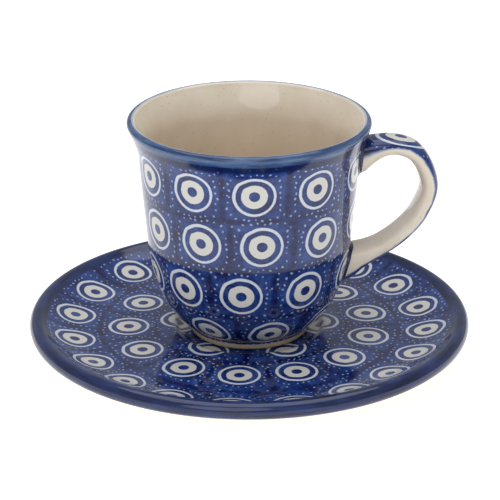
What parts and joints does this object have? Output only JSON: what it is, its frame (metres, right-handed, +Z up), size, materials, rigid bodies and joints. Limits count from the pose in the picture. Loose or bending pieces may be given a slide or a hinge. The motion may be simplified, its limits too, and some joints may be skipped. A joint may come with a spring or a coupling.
{
  "type": "stoneware cup and saucer",
  "caption": "Handled stoneware cup with a flared lip and foot ring, standing in the well of a matching round saucer.",
  "frame": {"origin": "on the table, under the middle of the saucer's foot ring", "axes": "+Z up along the turning axis of cup and saucer, +X towards the cup's handle"},
  "size_m": [0.158, 0.158, 0.0903],
  "materials": {
    "bowl_glaze": "cobalt ground stamped with cream rings and pale dots under clear gloss glaze, cream inside and foot",
    "saucer_glaze": "cobalt ground stamped with cream rings and pale dots under clear gloss glaze, slate-blue rim, cream underside",
    "handle_glaze": "cream clear-glazed stoneware, back brushed cobalt with one stamped ring",
    "slip_glaze": "slip joint brushed dark cobalt under clear gloss glaze"
  },
  "bodies": {
    "saucer": {"saucer": "saucer_glaze"},
    "cup": {"cup_bowl": "bowl_glaze", "cup_handle": "handle_glaze", "slip_bead_upper": "slip_glaze", "slip_bead_lower": "slip_glaze"}
  },
  "joints": [
    {"name": "cup_lift", "type": "slide", "parent": "saucer", "child": "cup", "axis": [0, 0, 1], "range_m": [0, 0.12]}
  ]
}
